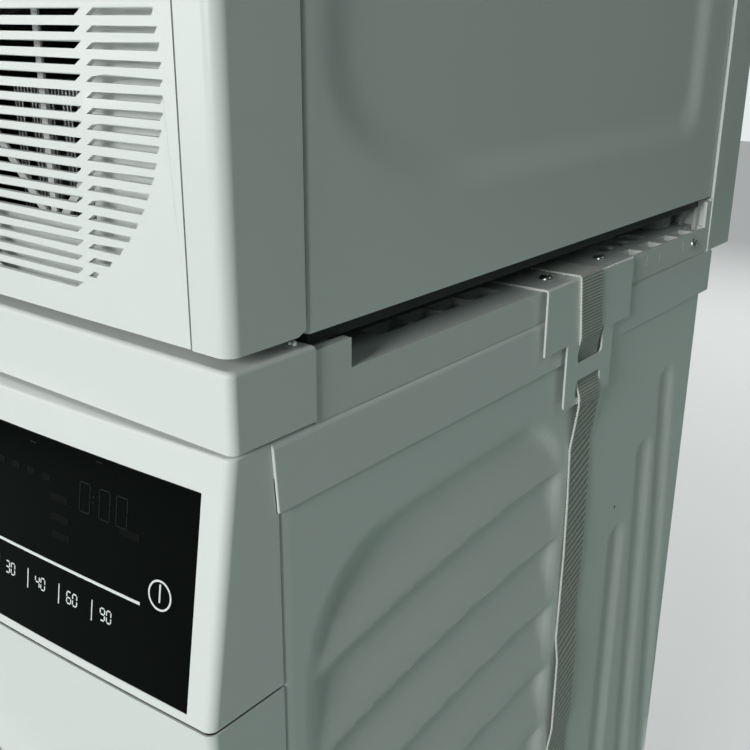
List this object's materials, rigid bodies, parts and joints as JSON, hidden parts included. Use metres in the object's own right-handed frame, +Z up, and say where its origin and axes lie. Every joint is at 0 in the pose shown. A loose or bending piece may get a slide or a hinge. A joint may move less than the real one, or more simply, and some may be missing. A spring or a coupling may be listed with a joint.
{
  "type": "washer dryer stack",
  "caption": "Front-loading washer with a tumble dryer on top, joined by a stacking frame with pull-out shelf, steel brackets and tie strap.",
  "frame": {"origin": "middle of the overall box, on the floor", "axes": "+Z up, +X to the right for someone facing the fronts, the fronts face -Y"},
  "size_m": [0.6273, 0.709, 1.725],
  "materials": {
    "white_enamel": "satin",
    "white_plastic": "satin",
    "kit_plastic": "satin",
    "black_glass": "gloss",
    "clear_glass": "gloss",
    "grey_rubber": "matte",
    "dark_plastic": "matte",
    "grey_plastic": "matte",
    "tub_plastic": "matte",
    "stainless": "satin",
    "zinc_steel": "satin",
    "hinge_metal": "satin",
    "pulley_metal": "satin",
    "motor_metal": "matte",
    "belt_rubber": "matte",
    "concrete": "matte",
    "webbing": "matte",
    "felt": "matte",
    "fins": "satin",
    "can_metal": "satin"
  },
  "bodies": {
    "cabinet": {"washer_base": "dark_plastic", "washer_feet": "dark_plastic", "washer_side_panels": "white_enamel", "washer_rear_panel": "white_enamel", "washer_front_panel": "white_enamel", "washer_worktop": "white_plastic", "washer_fascia": "white_plastic", "washer_display": "black_glass", "dispenser_housing": "grey_plastic", "washer_door_hinge": "hinge_metal", "door_gasket": "grey_rubber", "washer_tub": "tub_plastic", "washer_belt": "belt_rubber", "washer_motor": "motor_metal", "counterweights": "concrete", "tub_suspension": "zinc_steel", "drain_pump": "tub_plastic", "inlet_valve": "white_plastic", "kit_frame": "kit_plastic", "rear_stops": "white_enamel", "strap_brackets": "white_enamel", "kit_screws": "zinc_steel", "tie_strap": "webbing", "cam_buckle": "zinc_steel", "dryer_base": "dark_plastic", "dryer_feet": "grey_plastic", "dryer_side_panels": "white_enamel", "dryer_rear_panel": "white_enamel", "dryer_front_panel": "white_enamel", "dryer_top": "white_enamel", "dryer_display": "black_glass", "dryer_fascia": "white_plastic", "dryer_door_hinge": "hinge_metal", "dryer_bulkhead": "grey_plastic", "drum_felt": "felt", "dryer_belt": "belt_rubber", "dryer_motor": "motor_metal", "heat_exchanger": "fins", "compressor": "can_metal"},
    "washer_knob": {"washer_knob": "white_plastic"},
    "drawer": {"detergent_drawer": "white_plastic"},
    "washer_door": {"washer_door_ring": "white_plastic", "washer_door_glass": "clear_glass"},
    "washer_drum": {"washer_drum": "stainless", "drum_lifters": "grey_plastic", "drum_pulley": "pulley_metal"},
    "motor_rotor": {"motor_pulley": "stainless"},
    "filter_flap": {"filter_flap": "white_plastic"},
    "filter_cap": {"pump_filter_cap": "grey_plastic"},
    "shelf": {"kit_shelf": "kit_plastic"},
    "cam": {"cam_lever": "zinc_steel"},
    "dryer_flap": {"dryer_flap": "white_plastic"},
    "dryer_knob": {"dryer_knob": "white_plastic"},
    "water_tank": {"water_container": "white_plastic"},
    "dryer_door": {"dryer_door_ring": "white_plastic", "dryer_door_glass": "clear_glass"},
    "lint_filter": {"lint_filter": "grey_plastic"},
    "dryer_drum": {"dryer_drum": "stainless", "dryer_lifters": "grey_plastic"},
    "dryer_rotor": {"dryer_fan": "grey_plastic"}
  },
  "joints": [
    {"name": "washer_knob_turn", "type": "hinge", "parent": "cabinet", "child": "washer_knob", "pos_m": [0, -0.3227, 0.775], "axis": [0, -0.988, 0.1541], "continuous": true},
    {"name": "detergent_drawer_slide", "type": "slide", "parent": "cabinet", "child": "drawer", "axis": [0, -1, 0], "range_m": [0, 0.21]},
    {"name": "washer_door_swing", "type": "hinge", "parent": "cabinet", "child": "washer_door", "pos_m": [-0.211, -0.345, 0.43], "axis": [0, 0, -1], "range_deg": [0, 170]},
    {"name": "washer_drum_spin", "type": "hinge", "parent": "cabinet", "child": "washer_drum", "pos_m": [0, 0, 0.43], "axis": [0, 1, 0], "continuous": true},
    {"name": "washer_motor_spin", "type": "hinge", "parent": "cabinet", "child": "motor_rotor", "pos_m": [0.095, 0.238, 0.105], "axis": [0, 1, 0], "continuous": true},
    {"name": "filter_flap_tilt", "type": "hinge", "parent": "cabinet", "child": "filter_flap", "pos_m": [0.17, -0.3245, 0.041], "axis": [1, 0, 0], "range_deg": [0, 90]},
    {"name": "filter_cap_turn", "type": "hinge", "parent": "cabinet", "child": "filter_cap", "pos_m": [0.17, -0.29, 0.08], "axis": [0, -1, 0], "range_deg": [0, 170]},
    {"name": "shelf_slide", "type": "slide", "parent": "cabinet", "child": "shelf", "axis": [0, -1, 0], "range_m": [0, 0.35]},
    {"name": "cam_release", "type": "hinge", "parent": "cabinet", "child": "cam", "pos_m": [-0.313, 0.066, 0.505], "axis": [0, -1, 0], "range_deg": [0, 70], "stiffness_Nm_per_rad": 0.15, "springref_deg": -28.65},
    {"name": "dryer_flap_tilt", "type": "hinge", "parent": "cabinet", "child": "dryer_flap", "pos_m": [0.153, -0.2955, 0.905], "axis": [1, 0, 0], "range_deg": [0, 90]},
    {"name": "dryer_knob_turn", "type": "hinge", "parent": "cabinet", "child": "dryer_knob", "pos_m": [0, -0.3, 1.645], "axis": [0, -1, 0], "continuous": true},
    {"name": "water_container_slide", "type": "slide", "parent": "cabinet", "child": "water_tank", "axis": [0, -1, 0], "range_m": [0, 0.4]},
    {"name": "dryer_door_swing", "type": "hinge", "parent": "cabinet", "child": "dryer_door", "pos_m": [0.211, -0.313, 1.33], "axis": [0, 0, 1], "range_deg": [0, 165]},
    {"name": "lint_filter_lift", "type": "slide", "parent": "cabinet", "child": "lint_filter", "axis": [0, 0, 1], "range_m": [0, 0.09]},
    {"name": "dryer_drum_spin", "type": "hinge", "parent": "cabinet", "child": "dryer_drum", "pos_m": [0, 0, 1.33], "axis": [0, 1, 0], "continuous": true},
    {"name": "dryer_rotor_spin", "type": "hinge", "parent": "cabinet", "child": "dryer_rotor", "pos_m": [-0.02, 0, 0.975], "axis": [0, 1, 0], "continuous": true}
  ],
  "couplings": [
    {"joint": "washer_motor_spin", "follows": "washer_drum_spin", "ratio": 13.636},
    {"joint": "dryer_rotor_spin", "follows": "dryer_drum_spin", "ratio": 35.625}
  ]
}
